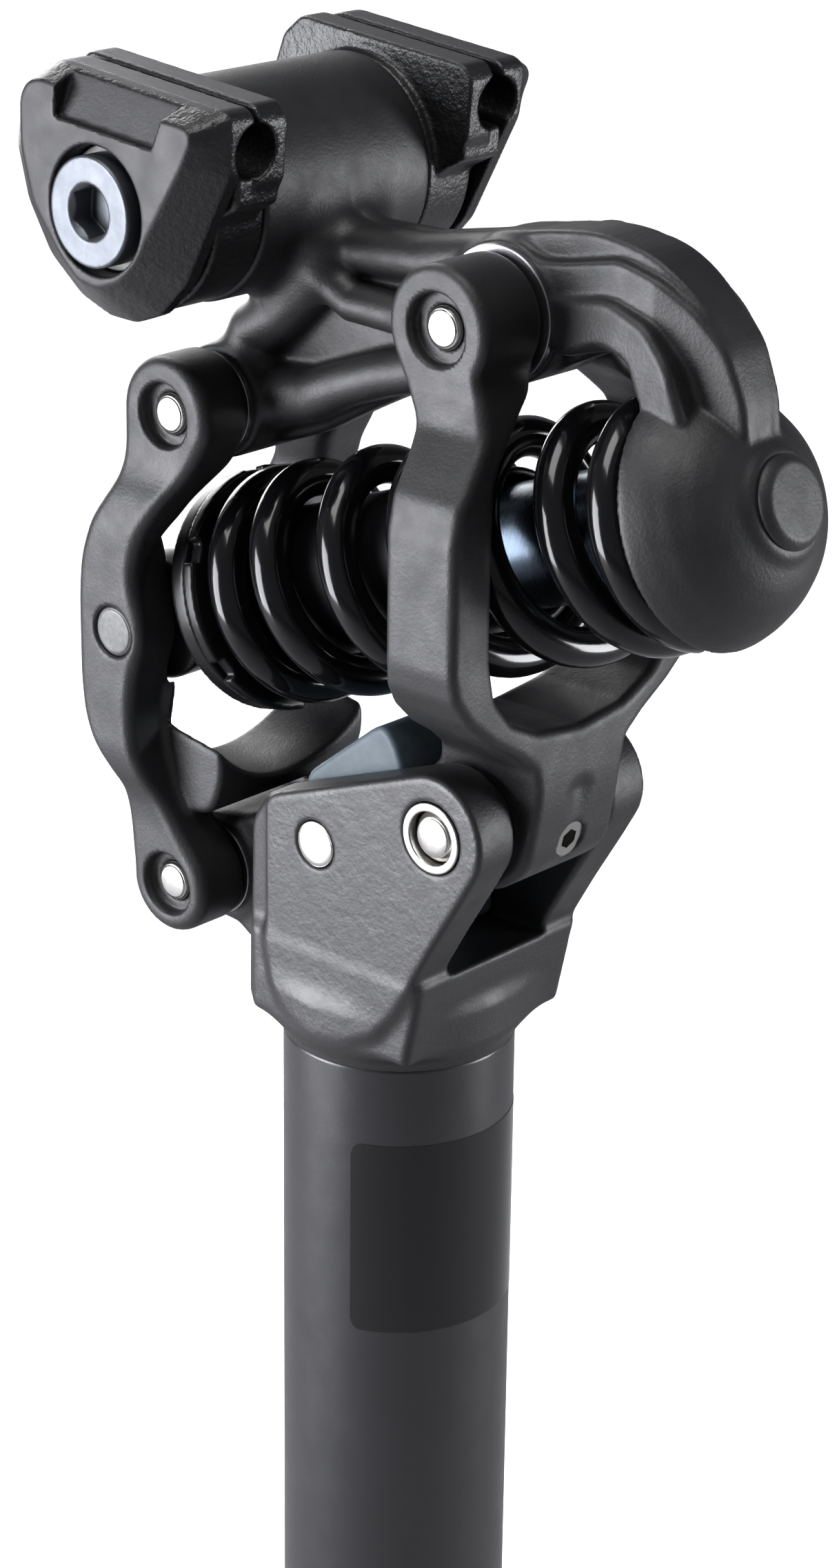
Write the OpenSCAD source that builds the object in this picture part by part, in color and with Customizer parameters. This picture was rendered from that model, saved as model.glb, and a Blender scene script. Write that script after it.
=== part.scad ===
// Parallelogram suspension seatpost for a bicycle.
// +X points forward, +Y to the rider's left, +Z up the post. The origin is
// the centre of the tube's lower end. Outlines in side view are (x, z) pairs
// measured from the tube's top, and at_head() lifts them onto the tube.

/* [Post tube] */
// Outer diameter of the tube that slides into the frame
tube_d = 31.6; // [30.9:0.1:31.8]
// Wall thickness of the tube
tube_wall = 2.5; // [2:0.1:3.5]
// Length of the tube below the head
tube_len = 228; // [150:1:330]
// Length of the head's spigot glued inside the tube
spigot_len = 38; // [20:1:60]

/* [Parallelogram links] */
// Front lower axle, forward of the tube axis
front_axle_x = 20; // [19.5:0.1:20.5]
// Front lower axle, above the tube's top
front_axle_z = 37.4; // [37:0.1:38]
// Rear lower pivot, forward of the tube axis
rear_axle_x = -27.3; // [-27.8:0.1:-26.8]
// Rear lower pivot, above the tube's top
rear_axle_z = 17.4; // [17:0.1:18]
// Forward lean of the links at rest, over their length
link_lean = 0.6; // [0:0.1:1]
// Height of the upper pivots above the lower ones
link_rise = 65.9; // [65.5:0.1:66.5]
// Half width over the pivot bosses of both links
boss_half_w = 17.5; // [17:0.1:18]
// Radius of the pinned link pivots
pin_r = 2.75; // [2.5:0.05:3]
// Radius of the front lower axle
axle_r = 3.5; // [3:0.1:3.6]
// Running clearance of every pivot, on the radius
pivot_gap = 0.05; // [0.02:0.01:0.1]

/* [Head] */
// Half width over the head's cheeks
cheek_half_w = 16.4; // [16:0.1:17]
// Half width of the slot between the cheeks
slot_half_w = 9.4; // [9.2:0.1:9.6]
// Height of the slot's floor above the tube's top
slot_floor_z = 15.5; // [14:0.1:16]
// Radius of the dowel that holds the bump stop
dowel_r = 3.2; // [3:0.1:3.4]

/* [Spring] */
// Outer radius of the coil spring
spring_r = 16.2; // [15.5:0.1:16.4]
// Radius of the spring wire
wire_r = 2.6; // [2.2:0.1:2.7]
// Number of turns
spring_turns = 6.5; // [5:0.5:7]
// Where the coil starts, along the spring axis from the seat pin
spring_start = 13.1; // [13:0.1:14]
// Where the coil ends, along the spring axis from the seat pin
spring_end = 88.1; // [86:0.1:88.2]
// Slope of the spring axis at rest, in degrees
spring_tilt = 19.8; // [19:0.1:20.5]

/* [Saddle clamp] */
// Half the spacing of the saddle rails
rail_half_gap = 22; // [21.5:0.1:22.5]
// Radius of a saddle rail
rail_r = 3.5; // [3.5:0.1:3.6]
// Height of the rails above the clamp bolt, in the clamp's own frame
rail_z = 10.7; // [10:0.1:11.5]
// Nose-down tilt of the clamp at rest, in degrees
clamp_tilt = 5.5; // [0:0.5:8]
// Radius of the frame's clamp barrel
barrel_r = 14.1; // [13.5:0.1:14.5]
// Half length of the frame's clamp barrel
barrel_half_w = 15; // [14.5:0.1:15]
// Radius of the clamp bolt's shank
bolt_r = 4; // [3:0.5:4]

/* [Hidden] */
$fn = 64;
tube_r = tube_d / 2;
tube_bore_r = tube_r - tube_wall;
A = [front_axle_x, front_axle_z];
C = [rear_axle_x, rear_axle_z];
link = [link_lean, link_rise];
B = A + link;
D = C + link;
seat_pin_at = [-33.8, 52.8];
dowel_at = [-0.3, 30.7];
barrel_at = [-24, 112.6];
seat_pin_r = 3.5;
ball_at_s = 88;
ball_r = 8.6;
sleeve_r = 8.05;
sleeve_bore_r = 7.2;
rod_r = 5;
piston_r = 6.3;
seat_tube_r = 10.2;
seat_rim_r = 16.2;
seat_tube_bore_r = 8.9;
seat_tube_end = 58;
ring_start = 11;
ring_end = 13;
plug_stem_r = 4;
plug_head_r = 5.8;
dome_r = 17.2;
dome_back = 3.8;
dome_top = 12.25;
bush_r = 4;
axle_bush_r = 4.75;
bush_flange = 1;
rear_boss_half_w = 7.5;
front_boss_half_w = 5.5;
link_play = 0.1;
rear_link_in = rear_boss_half_w + bush_flange + link_play;
front_link_in = front_boss_half_w + bush_flange + link_play;
neck_half_w = slot_half_w - 1.1;
screw_slope = 13.7;
spring_swing = 31;
wire_sides = 10;
rings_per_turn = 20;
coil_rings = spring_turns * rings_per_turn;
coil_free = spring_end - spring_start - 2 * wire_r;
dead_rings = 0.75 * rings_per_turn;
dead_rise = 1.15 * wire_r;
coil_phase = 165;
steel = "silver";
anodised = [0.13, 0.13, 0.15];

// ---- helpers ----
module at_head() translate([0, 0, tube_len]) children();
module both_sides() { children(); mirror([0, 1, 0]) children(); }
// A side-view outline, from y = a to y = b
module slab(points, a, b)
    translate([0, b, 0]) rotate([90, 0, 0]) linear_extrude(b - a) polygon(points);
// A cylinder across the post at side-view place p, from y = a to y = b
module cross_rod(p, r, a, b)
    translate([p.x, b, p.y]) rotate([90, 0, 0]) cylinder(r = r, h = b - a);
// A pin across the post with chamfered ends
module chamfered_pin(p, r, half, chamfer = 0.5)
    translate([p.x, 0, p.y]) rotate([90, 0, 0]) rotate_extrude()
        polygon([[0, -half], [r - chamfer, -half], [r, chamfer - half],
            [r, half - chamfer], [r - chamfer, half], [0, half]]);
// Places children on the spring axis, s ahead of the seat pin, +Z along the axis
module on_spring(s, tilt = spring_tilt)
    translate([seat_pin_at.x, 0, seat_pin_at.y]) rotate([0, 90 - tilt, 0]) translate([0, 0, s])
        children();
// Places children in the clamp's frame: origin on the bolt, +X along the rails
module in_clamp() translate([barrel_at.x, 0, barrel_at.y]) rotate([0, clamp_tilt, 0]) children();
function arc(c, r, from, to, steps = 12) =
    [for (i = [0 : steps]) let (a = from + (to - from) * i / steps) c + r * [cos(a), sin(a)]];
// Two flanged bushes, one from each side of a boss
module flanged_bushes(p, half_w, flange_r)
    both_sides() difference() {
        union() {
            cross_rod(p, bush_r, 0.5, half_w);
            cross_rod(p, flange_r, half_w, half_w + bush_flange);
        }
        cross_rod(p, pin_r + pivot_gap, 0, half_w + 2);
    }

// ---- post ----
module post_tube() color(anodised) difference() {
    cylinder(r = tube_r, h = tube_len);
    translate([0, 0, -1]) cylinder(r = tube_bore_r, h = tube_len + 2);
}

module head_cheeks() {
    outline = concat([[-9.6, 12], [-9.6, 34.2], [-8.6, 35.2]],
        arc(A, 8.3, 115, -22), [[25.1, 29.8], [20.7, 22.6], [16.3, 14.9], [15, 12]]);
    both_sides() slab(outline, slot_half_w, cheek_half_w);
}

module head() color(anodised) at_head() difference() {
    union() {
        translate([0, 0, -spigot_len]) cylinder(r = tube_bore_r - 0.05, h = spigot_len);
        cylinder(r = tube_r + 0.8, h = 5);
        hull() {
            translate([0, 0, 4]) cylinder(r = tube_r + 0.8, h = 1, $fn = 32);
            translate([-9.6, -cheek_half_w, 12]) cube([25.8, 2 * cheek_half_w, 0.5]);
            translate([16, -slot_half_w, 12]) cube([2.2, 2 * slot_half_w, slot_floor_z - 12]);
        }
        translate([-9.6, -cheek_half_w, 12]) cube([25, 2 * cheek_half_w, slot_floor_z - 12]);
        head_cheeks();
        slab([[-14, 9], [-8.9, 9], [-8.9, 34], [-11, 34], [-14, 31]], -cheek_half_w + 3, cheek_half_w - 3);
        slab([[-9, 9], [-9, 32], [-14, 30], [-24.7, 24.7], [-27, 24.9], [-30, 24], [-27, 14], [-21, 8]],
            -rear_boss_half_w, rear_boss_half_w);
        cross_rod(C, 7.5, -rear_boss_half_w, rear_boss_half_w);
    }
    translate([0, 0, -spigot_len - 1]) cylinder(r = 9.5, h = spigot_len + 3);
    cross_rod(A, axle_bush_r, -cheek_half_w - 1, cheek_half_w + 1);
    cross_rod(dowel_at, dowel_r, -cheek_half_w - 1, cheek_half_w + 1);
    cross_rod(C, bush_r, -cheek_half_w, cheek_half_w);
}

module dowel_pin() color(steel) at_head() chamfered_pin(dowel_at, dowel_r, cheek_half_w, 0.3);

module bump_stop() color([0.32, 0.37, 0.41]) at_head() difference() {
    slab([[-8.8, slot_floor_z + 0.1], [-8.8, 36.5], [3.2, 46], [5.2, 46.4], [7, 45], [8.6, 41.5],
        [8.6, slot_floor_z + 0.1]], -slot_half_w + 0.2, slot_half_w - 0.2);
    cross_rod(dowel_at, dowel_r, -slot_half_w, slot_half_w);
}

module axle_bushes() color("gainsboro") at_head() both_sides() difference() {
    cross_rod(A, axle_bush_r, slot_half_w, cheek_half_w);
    cross_rod(A, axle_r + pivot_gap, 0, cheek_half_w + 1);
}

module rear_lower_bushes() color("gainsboro") at_head() flanged_bushes(C, rear_boss_half_w, 6.8);

// ---- front link ----
module front_link() color(anodised) at_head() difference() {
    union() {
        both_sides() {
            // upper eye and waist
            cross_rod(B, 8, front_link_in, boss_half_w);
            slab([[13, 101], [17.6, 92], [18, 88.5], [31, 88.5], [30, 92], [28.6, 103]], front_link_in + 6,
                boss_half_w);
            slab([[13.5, 100], [17.6, 92.5], [29.6, 93], [28.3, 101]], front_link_in, boss_half_w);
            // outer arm with its bend
            slab([[17.8, 92], [19.5, 84], [19.5, 62], [31, 62], [31, 84], [30, 92]], boss_half_w - 0.5, 21);
            slab([[19.5, 85], [19.5, 62], [31, 62], [31, 85]], 20.5, 25);
            // shoulder that draws the arm in to the neck
            translate([19.5, 0, 0]) rotate([90, 0, 90]) linear_extrude(11.5)
                polygon([[17.5, 62.5], [25, 62.5], [24.3, 60.5], [21.8, 57], [18.8, 53.1], [12.2, 49.6],
                    [8.3, 46.5], [0, 46.5], [0, 51], [4, 51.3], [7.9, 52.2], [13.4, 54.5], [16.2, 57]]);
        }
        slab(concat(arc(A, 9.4, 130, 300), [[29, 32.5], [31, 43], [31, 50], [14.8, 50]]),
            -neck_half_w, neck_half_w);
    }
    cross_rod(A, axle_r, -neck_half_w - 1, neck_half_w + 1);
    cross_rod(B, pin_r, -boss_half_w - 1, boss_half_w + 1);
    both_sides() cross_rod(B, 4.5, boss_half_w - 2, boss_half_w + 1);
    translate([A.x, 0, A.y]) rotate([0, 90 + screw_slope, 0]) cylinder(r = 2.5, h = 20);
}

module front_axle() color(steel) at_head() difference() {
    chamfered_pin(A, axle_r, cheek_half_w - 0.4, 0.8);
    // flat that the set screw bears on
    translate([A.x, 0, A.y]) rotate([0, 90 + screw_slope, 0]) translate([0, 0, axle_r - 0.4])
        cylinder(r = 2.6, h = 5);
}

module set_screw() color(steel) at_head()
    translate([A.x, 0, A.y]) rotate([0, 90 + screw_slope, 0]) difference() {
        translate([0, 0, axle_r - 0.4]) cylinder(r = 2.5, h = 6.2);
        translate([0, 0, axle_r + 3.2]) cylinder(r = 1.45, h = 5, $fn = 6);
    }

module axle_washers() color("gainsboro") at_head() both_sides() difference() {
    cross_rod(A, 7, neck_half_w, slot_half_w - link_play);
    cross_rod(A, axle_r, 0, slot_half_w + 1);
}

module front_upper_pin() color(steel) at_head() chamfered_pin(B, pin_r, boss_half_w - 1.2);

// ---- rear link ----
module rear_link() color(anodised) at_head() difference() {
    union() {
        both_sides() {
            cross_rod(D, 7.8, rear_link_in, boss_half_w);
            slab([[-34.2, 82], [-34, 76], [-35, 72], [-26, 72], [-23.5, 77.5], [-19, 83]], rear_link_in,
                boss_half_w);
            cross_rod(C, 7, rear_link_in, boss_half_w);
            slab([[-34.2, 18], [-35, 26], [-35.5, 30], [-28, 30], [-24.9, 24.8], [-20.4, 18]], rear_link_in,
                boss_half_w);
            slab([[-34.2, 75], [-34.7, 73], [-38, 68], [-41, 60], [-41, 43], [-39, 36], [-35.2, 30],
                [-34.8, 27], [-26, 27], [-29, 33], [-31, 39], [-31, 46], [-29.4, 50], [-28.6, 54],
                [-29.6, 58], [-31, 61], [-29, 66], [-25.3, 73], [-24.5, 75]], 12.5, 20.5);
        }
        // web that ties the two plates together below the spring
        slab([[-35, 29], [-28, 26.6], [-22, 28], [-20, 33], [-20, 44], [-30, 46]], -13, 13);
    }
    for (swing = [0 : spring_swing / 4 : spring_swing])
        on_spring(6, spring_tilt - swing) cylinder(r = spring_r + 2.2, h = 45);
    cross_rod(seat_pin_at, 13, -12.5, 12.5);
    // the web's round trough
    intersection() {
        translate([-60, 0, 46.8]) rotate([0, 90, 0]) cylinder(r = 15.6, h = 60);
        translate([-60, -12.5, 20]) cube([60, 25, 40]);
    }
    for (p = [C, D]) cross_rod(p, pin_r, -boss_half_w - 1, boss_half_w + 1);
    both_sides() for (p = [C, D]) cross_rod(p, 4.3, boss_half_w - 2, boss_half_w + 1);
    cross_rod(seat_pin_at, seat_pin_r, -22, 22);
}

module rear_lower_pin() color(steel) at_head() chamfered_pin(C, pin_r, boss_half_w - 1.2);
module rear_upper_pin() color(steel) at_head() chamfered_pin(D, pin_r, boss_half_w - 1.2);
module seat_pin() color("gray") at_head() chamfered_pin(seat_pin_at, seat_pin_r, 20.3);

// ---- upper frame ----
module cup() {
    on_spring(ball_at_s + 0.3) rotate_extrude()
        polygon(concat([[0, 0], [16.6, 0]], arc([0, -dome_back], dome_r, 14, 69), [[0, dome_top]]));
}

module upper_frame() color(anodised) at_head() difference() {
    union() {
        cross_rod(barrel_at, barrel_r, -barrel_half_w, barrel_half_w);
        cross_rod(D, 7.6, -rear_boss_half_w, rear_boss_half_w);
        // web from the rear eye to the front eye
        slab([[-34, 85], [-31, 90], [-26.5, 92.5], [-25, 97], [-24, 104], [-12, 108], [1, 109],
            [12, 110.4], [20, 112], [27, 108], [27, 100], [20, 95.2], [13, 95], [5.7, 90.6], [-5.2, 85],
            [-13.2, 80.5], [-21, 77.5]], -front_boss_half_w, front_boss_half_w);
        slab([[-34, 85], [-31, 90], [-26.5, 92.5], [-25, 97], [-24, 104], [-12, 107], [0, 108],
            [5, 105], [5, 94], [-5.2, 86], [-13.2, 81.5], [-20, 78]], -rear_boss_half_w, rear_boss_half_w);
        cross_rod(B, 9, -front_boss_half_w, front_boss_half_w);
        // arm that bends down over the cup
        slab([[18, 112], [32, 114.6], [41.6, 112.9], [47.5, 109.3], [51.5, 104.7], [54.2, 98.7],
            [56, 90], [46, 90], [43.4, 97], [40, 102], [34.4, 99.6], [28, 96.4], [24, 100]],
            -front_boss_half_w, front_boss_half_w);
        slab([[34, 110.6], [38, 110.4], [43, 106.8], [46.8, 102], [49.5, 96.5], [52, 88],
            [45, 88], [44.4, 97], [41, 103], [36, 102.6]], -11, 11);
        cup();
    }
    // room for the spring below the arm
    on_spring(20) cylinder(r = spring_r + 1, h = ball_at_s + 0.25 - 20);
    cross_rod(barrel_at, bolt_r + 0.2, -barrel_half_w - 1, barrel_half_w + 1);
    cross_rod(D, bush_r, -20, 20);
    cross_rod(B, bush_r, -20, 20);
    // ball socket and mouth for the guide sleeve
    on_spring(ball_at_s) sphere(r = ball_r + pivot_gap);
    on_spring(ball_at_s) translate([0, 0, ball_r - 1]) cylinder(r = plug_stem_r, h = 10);
}

module front_upper_bushes() color("gainsboro") at_head()
    flanged_bushes(B, front_boss_half_w, 8.6);
module rear_upper_bushes() color("gainsboro") at_head()
    flanged_bushes(D, rear_boss_half_w, 6.8);

module cup_plug() color(anodised) at_head() on_spring(ball_at_s) {
    translate([0, 0, ball_r + 0.1]) cylinder(r = plug_stem_r, h = dome_top + 0.32 - ball_r);
    translate([0, 0, dome_top + 0.32]) rotate_extrude()
        polygon([[0, 0], [plug_head_r, 0], [plug_head_r, 0.8], [plug_head_r - 1, 1.6], [0, 1.6]]);
}

// ---- spring group ----
module spring_seat() color(anodised) at_head() difference() {
    union() {
        cross_rod(seat_pin_at, 8.5, -12.3, 12.3);
        on_spring(0) cylinder(r = seat_tube_r, h = seat_tube_end);
        on_spring(7) cylinder(r1 = 12.2, r2 = seat_rim_r, h = 1.2);
        on_spring(8.2) cylinder(r = seat_rim_r, h = ring_start - 8.25);
    }
    cross_rod(seat_pin_at, seat_pin_r + pivot_gap, -22, 22);
    on_spring(9) cylinder(r = rod_r, h = 10);
    // bore that the guide sleeve slides in
    on_spring(18) cylinder(r = seat_tube_bore_r, h = seat_tube_end);
}

module guide_rod() color(steel) at_head() {
    on_spring(9) cylinder(r = rod_r, h = 45);
    on_spring(54) cylinder(r = piston_r, h = 6);
}

module preload_ring() color(anodised) at_head() on_spring(ring_start) difference() {
    thick = ring_end - ring_start;
    rotate_extrude() polygon([[10.25, 0], [16.1, 0], [16.6, 0.5], [16.6, thick], [10.25, thick]]);
    for (a = [0 : 60 : 300]) rotate(a) translate([15.4, -1.5, -1]) cube([3, 3, thick + 2]);
}

function coil_ring(a, rise, r) = [for (j = [0 : wire_sides - 1]) let (t = 360 * j / wire_sides)
    [(r + wire_r * cos(t)) * cos(a), (r + wire_r * cos(t)) * sin(a), rise + wire_r * sin(t)]];

// Height of ring i: the end turns lie flat and the middle turns climb evenly
function coil_rise(i) = i < dead_rings ? dead_rise * i / dead_rings
    : i > coil_rings - dead_rings ? coil_free - dead_rise * (coil_rings - i) / dead_rings
    : dead_rise + (coil_free - 2 * dead_rise) * (i - dead_rings) / (coil_rings - 2 * dead_rings);

module spring() color([0.06, 0.06, 0.07]) at_head() {
    points = [for (i = [0 : coil_rings]) each
        coil_ring(coil_phase + 360 * i / rings_per_turn, coil_rise(i), spring_r - wire_r)];
    sides = [for (i = [0 : coil_rings - 1], j = [0 : wire_sides - 1]) let (k = (j + 1) % wire_sides)
        [i * wire_sides + j, (i + 1) * wire_sides + j, (i + 1) * wire_sides + k, i * wire_sides + k]];
    first = [for (j = [0 : wire_sides - 1]) j];
    last = [for (j = [wire_sides - 1 : -1 : 0]) coil_rings * wire_sides + j];
    on_spring(spring_start + wire_r) polyhedron(points, concat(sides, [first, last]));
}

module guide_sleeve() color([0.2, 0.24, 0.28]) at_head() difference() {
    union() {
        on_spring(40) cylinder(r = sleeve_r, h = ball_at_s - 40);
        on_spring(ball_at_s) intersection() {
            sphere(r = ball_r);
            translate([0, 0, -1]) cylinder(r = ball_r, h = ball_r - 0.3);
        }
    }
    on_spring(39) cylinder(r = sleeve_bore_r, h = 41);
}

// ---- saddle clamp ----
module rail_hole() translate([-30, rail_half_gap, rail_z]) rotate([0, 90, 0])
    cylinder(r = rail_r, h = 60);

module inner_jaw() in_clamp() difference() {
    union() {
        cross_rod([0, 0], 13.8, barrel_half_w + 0.1, 23.4);
        slab([[-15.5, 2], [-17, 8], [-15.6, 13], [-12.6, 16], [16.6, 16], [18.3, 14.2], [18.3, 6.5],
            [14, 1]], barrel_half_w + 1.6, 21.3);
        slab([[-15, 1.5], [-16.4, 7.4], [17.6, 7.4], [17.8, 3.6], [13, 0.5]], barrel_half_w + 1.6, 24.2);
    }
    rail_hole();
    cross_rod([0, 0], bolt_r + 0.1, 10, 40);
}

module outer_jaw() in_clamp() difference() {
    rim = [[-11, 16], [17.2, 16], [18.5, 14.8], [18.5, 8.5], [12.2, -6.8], [8, -12], [3.6, -14.2],
        [-1, -14.5], [-6.4, -13.2], [-12.4, -9.4], [-17, -3.4], [-19.4, 3], [-19.4, 7.6], [-17.6, 11.6],
        [-14.6, 14.6]];
    union() {
        slab([[-19.4, 8], [-17.6, 11.6], [-14.6, 14.6], [-11, 16], [17.2, 16], [18.5, 14.8], [18.5, 8]],
            22.6, 26);
        hull() {
            slab(rim, 24.4, 26.6);
            slab([[-11.4, 13.9], [15.2, 13.9], [15.9, 12.6], [14.2, 8.6], [7.2, -4.6], [4.4, -7.9],
                [1, -9.6], [-2.6, -9.4], [-6, -7], [-11.2, -1.6], [-13.8, 5], [-14.4, 11], [-13.4, 13]],
                30.6, 31);
        }
    }
    // pocket in the face, with a floor that slopes outward
    intersection() {
        slab([[-8.3, 18], [12.2, 18], [11.2, 15.9], [8.9, 9.2], [-7.9, 9.2]], 26, 33);
        translate([-20, 0, 0]) rotate([90, 0, 90]) linear_extrude(40)
            polygon([[26.9, 17.5], [33, 17.5], [33, 10], [29.9, 10]]);
    }
    rail_hole();
    cross_rod([0, 0], bolt_r + 0.1, 20, 40);
    cross_rod([0, 0], 8.2, 27, 40);
}

module inner_jaw_near() color(anodised) at_head() mirror([0, 1, 0]) inner_jaw();
module inner_jaw_far() color(anodised) at_head() inner_jaw();
module outer_jaw_near() color(anodised) at_head() mirror([0, 1, 0]) outer_jaw();
module outer_jaw_far() color(anodised) at_head() outer_jaw();

module clamp_bolt() color([0.5, 0.55, 0.6]) at_head() in_clamp() difference() {
    union() {
        cross_rod([0, 0], bolt_r, -28, 30);
        cross_rod([0, 0], 7, -32, -28);
    }
    cross_rod([0, 0], 3.45, -33, -28.5, $fn = 6);
}

module bolt_washer() color(steel) at_head() in_clamp() difference() {
    cross_rod([0, 0], 7.9, -28, -27);
    cross_rod([0, 0], bolt_r, -33, -20);
}

module clamp_nut() color([0.5, 0.55, 0.6]) at_head() in_clamp() difference() {
    cross_rod([0, 0], 7.5, 27, 31.5);
    cross_rod([0, 0], bolt_r, 20, 40);
}

post_tube();
head();
dowel_pin();
bump_stop();
axle_bushes();
rear_lower_bushes();
front_link();
front_axle();
set_screw();
axle_washers();
front_upper_pin();
rear_link();
rear_lower_pin();
rear_upper_pin();
seat_pin();
upper_frame();
front_upper_bushes();
rear_upper_bushes();
cup_plug();
spring_seat();
guide_rod();
preload_ring();
spring();
guide_sleeve();
inner_jaw_near();
inner_jaw_far();
outer_jaw_near();
outer_jaw_far();
clamp_bolt();
bolt_washer();
clamp_nut();
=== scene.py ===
"""Looks of the suspension seatpost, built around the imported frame.

Sizes are in millimetres. The forged and cast pieces are signed distance fields, turned into meshes
here; the pins, bushes and tubes are turned profiles. Side-view places are (x, z) from the tube's top.
"""
import math

import bpy
import numpy as np
from mathutils import Matrix, Quaternion, Vector


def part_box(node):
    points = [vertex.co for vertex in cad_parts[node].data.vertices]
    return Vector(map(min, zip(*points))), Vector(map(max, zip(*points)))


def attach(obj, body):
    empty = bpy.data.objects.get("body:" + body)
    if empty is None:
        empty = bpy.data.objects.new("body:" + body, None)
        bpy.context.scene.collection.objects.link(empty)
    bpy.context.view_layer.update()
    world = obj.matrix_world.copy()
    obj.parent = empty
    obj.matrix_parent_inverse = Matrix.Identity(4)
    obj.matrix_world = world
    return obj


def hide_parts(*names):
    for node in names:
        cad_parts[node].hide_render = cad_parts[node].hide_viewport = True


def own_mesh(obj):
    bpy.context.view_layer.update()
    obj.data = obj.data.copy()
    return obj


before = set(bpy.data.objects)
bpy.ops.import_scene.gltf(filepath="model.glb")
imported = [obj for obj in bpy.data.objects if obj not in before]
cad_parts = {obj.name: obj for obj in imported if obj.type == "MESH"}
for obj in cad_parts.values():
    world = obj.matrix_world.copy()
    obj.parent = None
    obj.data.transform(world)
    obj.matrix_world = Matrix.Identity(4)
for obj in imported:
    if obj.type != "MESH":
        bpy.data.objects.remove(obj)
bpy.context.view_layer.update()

TUBE = 228.0                                     # the tube's top above the origin
A, C = (20.0, 37.4), (-27.3, 17.4)               # lower axles
B, D = (20.6, 103.3), (-26.7, 83.3)              # upper axles
SEAT, TILT = (-33.8, 52.8), math.radians(19.8)   # seat pin, spring slope
BARREL, NOSE = (-24.0, 112.6), math.radians(5.5)  # clamp bolt, clamp tilt
UX, UZ = math.cos(TILT), math.sin(TILT)
DOWEL = (-0.3, 30.7)
TUBE_R, TUBE_BORE = 15.8, 13.3
AXLE_R, SEAT_PIN_R = 3.5, 3.5
PIN_R, PIN_HALF = 2.75, 16.3                     # the three link pins: radius and half length
BUSH_BORE, BUSH_R = 2.8, 4                       # their flanged bushes
SPRING_START, SPRING_STOP = 13.1, 88.1           # along the spring axis, from the seat pin
RAIL_R, RAIL_Y, RAIL_Z = 3.5, 22, 10.7           # saddle rail groove, in the clamp's own frame
BOLT_BORE = 4.1
hyp, low, high = np.hypot, np.minimum, np.maximum


# ---- fields ----
def join(a, b, k=0.0):
    """Union, with a fillet of about k."""
    if not k:
        return low(a, b)
    h = high(k - abs(a - b), 0) / k
    return low(a, b) - h * h * k / 4


def cut(a, b, k=0.0):
    return -join(-a, b, k)


def both(u, v, r=0.0):
    """Intersection, with convex edges rounded to r."""
    u, v = u + r, v + r
    return low(high(u, v), 0) + hyp(high(u, 0), high(v, 0)) - r


def span(t, a, b):
    return abs(t - (a + b) / 2) - (b - a) / 2


def soft(points, r=2.0, steps=4):
    """The closed outline with its corners rounded."""
    out, n = [], len(points)
    p = [np.array(q, float) for q in points]
    for i in range(n):
        if abs(p[i][0]) < 0.05:                      # corners on an axis stay sharp
            out.append(p[i])
            continue
        before, after = p[i - 1] - p[i], p[(i + 1) % n] - p[i]
        lb, la = np.linalg.norm(before), np.linalg.norm(after)
        s, e = p[i] + before / lb * min(r, 0.48 * lb), p[i] + after / la * min(r, 0.48 * la)
        for k in range(steps + 1):
            t = k / steps
            out.append((1 - t) ** 2 * s + 2 * t * (1 - t) * p[i] + t * t * e)
    return out


def mirrored(points):
    """The points in reverse order, on the other side of the first axis."""
    return [(-a, b) for a, b in points[::-1]]


def arc(c, r, a, b, steps=14):
    return [(c[0] + r * math.cos(math.radians(a + (b - a) * i / steps)),
             c[1] + r * math.sin(math.radians(a + (b - a) * i / steps))) for i in range(steps + 1)]


def outline(x, z, points):
    """Signed distance to a closed outline in the (x, z) plane."""
    near, sign = np.inf, 1.0
    for (ax, az), (bx, bz) in zip(points, [points[-1], *points[:-1]]):
        ex, ez = bx - ax, bz - az
        if ex * ex + ez * ez < 1e-9:
            continue
        wx, wz = x - ax, z - az
        t = np.clip((wx * ex + wz * ez) / (ex * ex + ez * ez), 0, 1)
        near = low(near, (wx - ex * t) ** 2 + (wz - ez * t) ** 2)
        up, down, side = z >= az, z < bz, ex * wz > ez * wx
        sign = np.where((up & down & side) | ~(up | down | side), -sign, sign)
    return sign * np.sqrt(near)


def rod(x, y, z, c, r, a, b, edge=0.0):
    """A cylinder across the post at side-view place c."""
    return both(hyp(x - c[0], z - c[1]) - r, span(y, a, b), edge)


def vein(x, y, z, points):
    """A chain of (x, y, z, radius) knots."""
    d = np.inf
    for p, q in zip(points, points[1:]):
        e = [q[i] - p[i] for i in range(3)]
        w = (x - p[0], y - p[1], z - p[2])
        t = np.clip((w[0] * e[0] + w[1] * e[1] + w[2] * e[2]) / sum(k * k for k in e), 0, 1)
        far = np.sqrt(sum((w[i] - e[i] * t) ** 2 for i in range(3)))
        d = low(d, far - (p[3] + (q[3] - p[3]) * t))
    return d


def along(x, z, lift=0.0):
    """Distance along the spring axis from the seat pin, and in-plane distance from it."""
    a = TILT - math.radians(lift)
    dx, dz = x - SEAT[0], z - SEAT[1]
    return dx * math.cos(a) + dz * math.sin(a), dz * math.cos(a) - dx * math.sin(a)


def in_clamp(x, z):
    """Side-view place in the clamp's own frame, with the bolt at its origin."""
    dx, dz = x - BARREL[0], z - BARREL[1]
    return dx * math.cos(NOSE) - dz * math.sin(NOSE), dx * math.sin(NOSE) + dz * math.cos(NOSE)


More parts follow.
